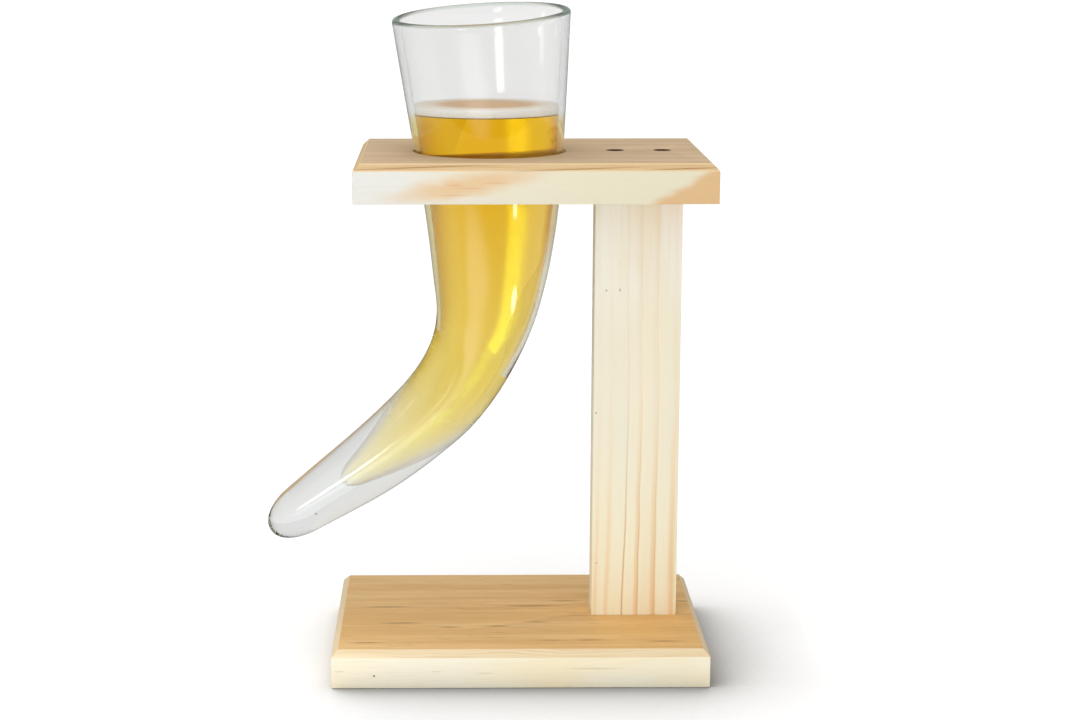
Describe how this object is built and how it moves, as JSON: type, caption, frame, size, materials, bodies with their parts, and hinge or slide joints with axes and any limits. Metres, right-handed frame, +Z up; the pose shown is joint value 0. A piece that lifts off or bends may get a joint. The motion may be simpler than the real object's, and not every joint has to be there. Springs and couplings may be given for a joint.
{
  "type": "drinking horn glass on stand",
  "caption": "Clear glass drinking horn with a bent solid tail, hanging through the round hole of a pine stand's shelf.",
  "frame": {"origin": "centre of the base board's underside", "axes": "+Z up, +X from the horn's tail to the post, -Y towards the front of the stand"},
  "size_m": [0.2151, 0.125, 0.3182],
  "materials": {
    "pine_base": "planed pine, oiled top face with grain along X",
    "pine_post": "planed pine, bare, with upright grain",
    "pine_shelf": "planed pine, oiled top face with grain along X",
    "clear_glass": "clear, fire-polished",
    "screw_steel": "dark zinc"
  },
  "bodies": {
    "stand": {"base_plate": "pine_base", "post": "pine_post", "shelf_plate": "pine_shelf", "shelf_screw_left": "screw_steel", "shelf_screw_right": "screw_steel", "base_screw_left": "screw_steel", "base_screw_right": "screw_steel"},
    "glass": {"horn_glass": "clear_glass"}
  },
  "joints": [
    {"name": "glass_draw_out", "type": "hinge", "parent": "stand", "child": "glass", "pos_m": [-0.2, 0, 0.229], "axis": [0, -1, 0], "range_deg": [0, 85]}
  ]
}
